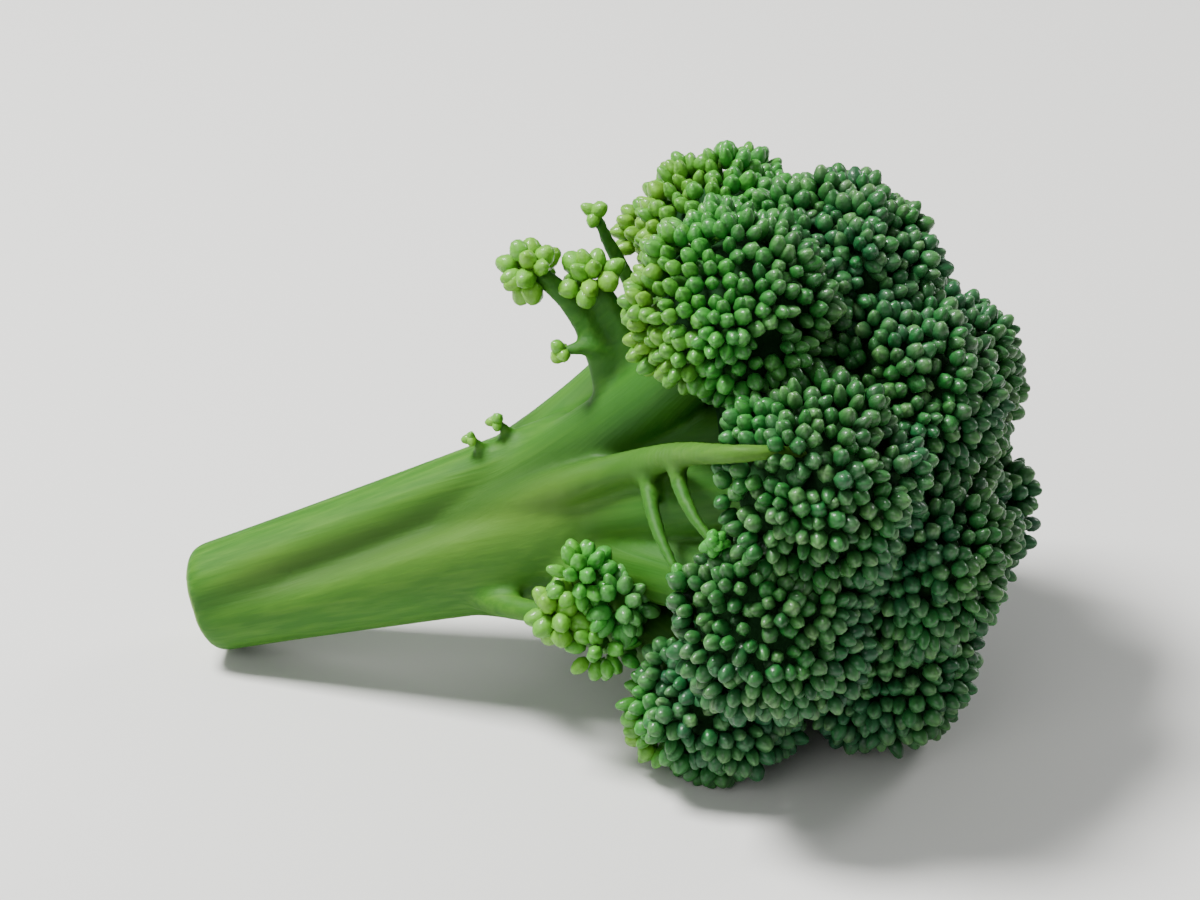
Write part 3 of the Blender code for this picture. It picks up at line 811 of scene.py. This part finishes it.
def stalk_marks(points, paths, pale_path):
    """What the peel's pattern follows. The grain is each point's place across the stalk and along it, less
    how far the branches' middles have moved sideways by that height. Each branch's share in this is
    exp(-distance / BRANCH_BLEND) over the sum of them all, so that the fibres run along each branch. The
    others say how near the crown the point is, how deep in a groove, how pale, and where it lies on the cut
    face."""
    over, side, place = ((points - CROWN_CENTRE) @ UPRIGHT.T).T
    turn = np.arctan2(side, over)
    rise = np.clip((place - CUT_END) / (FORK_AT - CUT_END), 0, 1)
    forked = ease(place, *FORK_SPAN)
    dents, main_dent = groove_dents(turn, rise)
    dent = dents * (1 - forked) + main_dent * forked * (1 - ease(place, *MAIN_GROOVE_SPAN))
    routes = [(path - CROWN_CENTRE) @ UPRIGHT.T for path in paths]
    middles = np.stack([[np.interp(place, route[:, 2], route[:, k]) for k in (0, 1)] for route in routes])
    apart = np.hypot(over - middles[:, 0], side - middles[:, 1])
    shares = np.exp((apart.min(axis=0) - apart) / BRANCH_BLEND)
    shares /= shares.sum(axis=0)
    feet = np.stack([route[0, :2] for route in routes])[:, :, None]
    moved = (shares[:, None] * (middles - feet)).sum(axis=0)
    beside = np.linalg.norm(points[:, None] - pale_path[PALE_STEPS], axis=-1).min(axis=1)
    light = bell(beside, PALE_BRANCH_GLOW)
    aside = np.angle(np.exp(1j * (turn - PALE_SIDE)))
    band = bell(aside, PALE_SIDE_WIDTH) * (1 - ease(place, *PALE_SIDE_END)) * ease(place, *PALE_SIDE_START)
    cut = 1 - ease(place, *CUT_SPAN)
    share = np.hypot(over, side) / (CUT_RADIUS - CUT_INSET)
    return {
        "grain": np.stack([over - moved[0], side - moved[1], place], axis=1),
        "dent": dent * (1 - cut),
        "up": np.clip(ease(place, *GREENING_SPAN) * (1 - light) * (1 - PALE_SIDE_SHARE * band), 0, 1),
        "pale": np.maximum(band * PALE_SIDE_SHARE, light * PALE_BRANCH_SHARE),
        "cut": cut,
        "pith": cut * (1 - ease(share, *PITH_SPAN)) * PITH_SHARE,
        "ring": cut * bell(share - RING_PLACE, RING_WIDTH),
    }


def add_branchlets(boughs, plans, paths, pale_path, peel):
    """Stalklets that fan out under each bough, from its branch to the middle of each tuft of its rim. They
    get greener to their tips."""
    centres, axes, radii = boughs
    green = np.linspace(*BRANCHLET_GREEN, BRANCHLET_STEPS)
    green = np.append(np.repeat(green, BRANCHLET_SIDES), BRANCHLET_GREEN)
    shapes = []
    for own in range(len(radii)):
        cells, raised, _ = plans[own]
        for way in cells[raised & (cells[:, 2] < math.cos(BRANCHLET_RIM))]:
            tip = way * (radii[own] - TUFT_RADIUS * BRANCHLET_SHORT)
            foot = np.array([0.0, 0.0, -BRANCHLET_ROOT * radii[own]]) + BRANCHLET_SPLAY * tip * [1, 1, 0]
            bend = foot + [0, 0, BRANCHLET_RISE * radii[own]] + BRANCHLET_BEND * (tip - foot) * [1, 1, 0]
            path = centres[own] + curve_through(foot, bend, tip, BRANCHLET_STEPS) @ frames_on(axes[own])
            shapes.append(tube(path, np.linspace(*BRANCHLET_RADII, BRANCHLET_STEPS), BRANCHLET_SIDES))
    points, faces = joined(shapes)
    marks = stalk_marks(points, paths, pale_path)
    marks["up"] = np.tile(green, len(shapes))
    new_piece("branchlets", points, faces, peel, "stalk", marks)


def head_buds(paths, head, scale, random):
    """A head of buds on the end of each path, spread round it by the golden angle out past its sides. Returns
    feet, leans, widths and lengths."""
    count, reach, width, length = head
    scale = np.broadcast_to(scale, len(paths)).repeat(count)
    reach, width, length = reach * scale, width * scale, length * scale
    ends = np.stack([path[-1] for path in paths])
    forward = unit(np.stack([path[-1] - path[-2] for path in paths]))
    ways = golden_cap(count, (0, HEAD_OPENING), HEAD_TURN) @ frames_on(forward)
    ways = unit(ways.reshape(-1, 3) + random.normal(0, HEAD_STRAY, (len(paths) * count, 3)))
    lengths = length * random.uniform(*HEAD_BUD_LENGTHS, len(ways))
    reaches = (reach + width) * random.uniform(*HEAD_REACHES, len(ways))
    widths = width * random.uniform(*HEAD_BUD_WIDTHS, len(ways))
    feet = np.repeat(ends, count, 0) + ways * reaches[:, None] - ways * lengths[:, None]
    return feet, ways, widths, lengths


def add_sprig_buds(sprigs, stalklets, low_sprigs, twigs, skin, random):
    """The heads of young buds on the thin stalks. They are yellow-green, and greener nearer to the low bough
    and on the twigs."""
    template = bud_template()
    rise, seam = template[2:]
    heads = [
        head_buds(sprigs, SPRIG_HEAD, 1, random),
        head_buds(stalklets, STALKLET_HEAD, STALKLET_SIZES, random),
        head_buds(low_sprigs, LOW_HEAD, 1, random),
        head_buds(twigs, TWIG_HEAD, 1, random),
    ]
    behind = (CROWN_CENTRE - heads[2][0]) @ AXIS
    young = np.concatenate([
        np.full(len(heads[0][0]) + len(heads[1][0]), SPRIG_YOUNG),
        LOW_HEAD_YOUNG * ease(behind, *LOW_HEAD_SPAN),
        np.full(len(heads[3][0]), TWIG_YOUNG)])
    feet, leans, widths, lengths = (np.concatenate(kinds) for kinds in zip(*heads))
    count = len(feet)
    frames = spun(frames_on(leans), random.uniform(0, FULL_TURN, count))
    # Each bud pales to its tip, partly bloom and partly a painted highlight, and painted shade darkens it
    # towards its foot.
    marks = {
        "tone": np.repeat(random.uniform(*HEAD_TONES, count), len(rise)),
        "tip": np.tile(rise, count) * HEAD_TIP,
        "painted_gap_shade": np.tile(np.clip(HEAD_FOOT_SHADE - rise, 0, 1), count),
        "young": np.repeat(young * random.uniform(*HEAD_YOUNG_SPREAD, count), len(rise)),
        "seam": np.tile(seam, count) * HEAD_SEAM,
    }
    points, faces = stamped(template, feet, frames, widths, lengths)
    new_piece("sprig_buds", points, faces, skin, "stalk", marks)


def stage_and_light():
    """A plain pale floor, a soft key light from the upper left, two weak fills, a pale sky, and the camera at
    the photo's angle."""
    corners = [(x * FLOOR_HALF, y * FLOOR_HALF, -FLOOR_DROP) for x, y in ((-1, -1), (1, -1), (1, 1), (-1, 1))]
    mesh = bpy.data.meshes.new("floor")
    mesh.from_pydata(corners, [], [(0, 1, 2, 3)])
    mesh.materials.append(new_finish("pale floor", {"Base Color": linear("#d9d8d4"), "Roughness": 0.7})[0])
    floor = bpy.data.objects.new("floor", mesh)
    bpy.context.scene.collection.objects.link(floor)

    world = bpy.data.worlds.new("studio")
    world.use_nodes = True
    sky = world.node_tree.nodes["Background"]
    sky.inputs["Color"].default_value = linear("#e8ecee")
    sky.inputs["Strength"].default_value = SKY_STRENGTH
    bpy.context.scene.world = world

    for name, place, size, power in LIGHTS:
        light = bpy.data.lights.new(name, "AREA")
        light.size = size
        light.energy = power
        lamp = bpy.data.objects.new(name, light)
        lamp.location = place
        lamp.rotation_euler = (LIGHT_AIM - Vector(place)).to_track_quat("-Z", "Y").to_euler()
        bpy.context.scene.collection.objects.link(lamp)

    camera = bpy.data.objects.new("camera", bpy.data.cameras.new("camera"))
    camera.data.lens = CAMERA_LENS
    camera.data.clip_start = 0.01
    level = math.cos(CAMERA_ELEVATION)
    way = Vector((
        math.sin(CAMERA_AZIMUTH) * level, -math.cos(CAMERA_AZIMUTH) * level, math.sin(CAMERA_ELEVATION)))
    camera.location = CAMERA_AIM + way * CAMERA_DISTANCE
    camera.rotation_euler = (-way).to_track_quat("-Z", "Y").to_euler()
    bpy.context.scene.collection.objects.link(camera)
    bpy.context.scene.camera = camera


def main():
    random = np.random.default_rng(SEED)
    boughs = plan_boughs(random)
    plans = plan_tufts(boughs, random)
    skin, peel, flesh = bud_finish(), stalk_finish(), flesh_finish()
    pale_path = CROWN_CENTRE + curve_along(PALE_BRANCH, PALE_BRANCH_STEPS) @ UPRIGHT
    add_crown_buds(boughs, plans, pale_path[BARE_STEPS], skin, random)
    add_crown_flesh(boughs, plans, flesh)

    branches = [branch_path(*bough) for bough in zip(*boughs)]
    sprigs = thin_curves(SPRIG_FEET, SPRIG_BENDS, SPRIG_TIPS)
    low_sprigs = thin_curves(LOW_HEAD_FEET, LOW_HEAD_BENDS, LOW_HEAD_TIPS)
    stalklets = thin_curves(STALKLET_FEET, STALKLET_BENDS, STALKLET_TIPS)
    twigs = thin_curves(TWIG_FEET, TWIG_BENDS, TWIG_TIPS)
    tubes = [tube(path, np.linspace(*BRANCH_RADII, BRANCH_STEPS), BRANCH_SIDES) for path in branches]
    tubes += [tube(path, np.linspace(*SPRIG_RADII, THIN_STEPS), SPRIG_SIDES) for path in sprigs + low_sprigs]
    tubes += [tube(path, np.linspace(*STALKLET_RADII, THIN_STEPS) * size, STALKLET_SIDES)
              for path, size in zip(stalklets, STALKLET_SIZES)]
    tubes += [tube(path, np.linspace(*TWIG_RADII, THIN_STEPS), TWIG_SIDES) for path in twigs]
    tubes.append(tube(pale_path, np.geomspace(*PALE_BRANCH_RADII, PALE_BRANCH_STEPS), PALE_BRANCH_SIDES))
    points, faces = fused(*joined([trunk(), *tubes]))
    new_piece("stalk_peel", points, faces, peel, "stalk", stalk_marks(points, branches, pale_path))
    add_branchlets(boughs, plans, branches, pale_path, peel)
    add_sprig_buds(sprigs, stalklets, low_sprigs, twigs, skin, random)
    stage_and_light()


main()
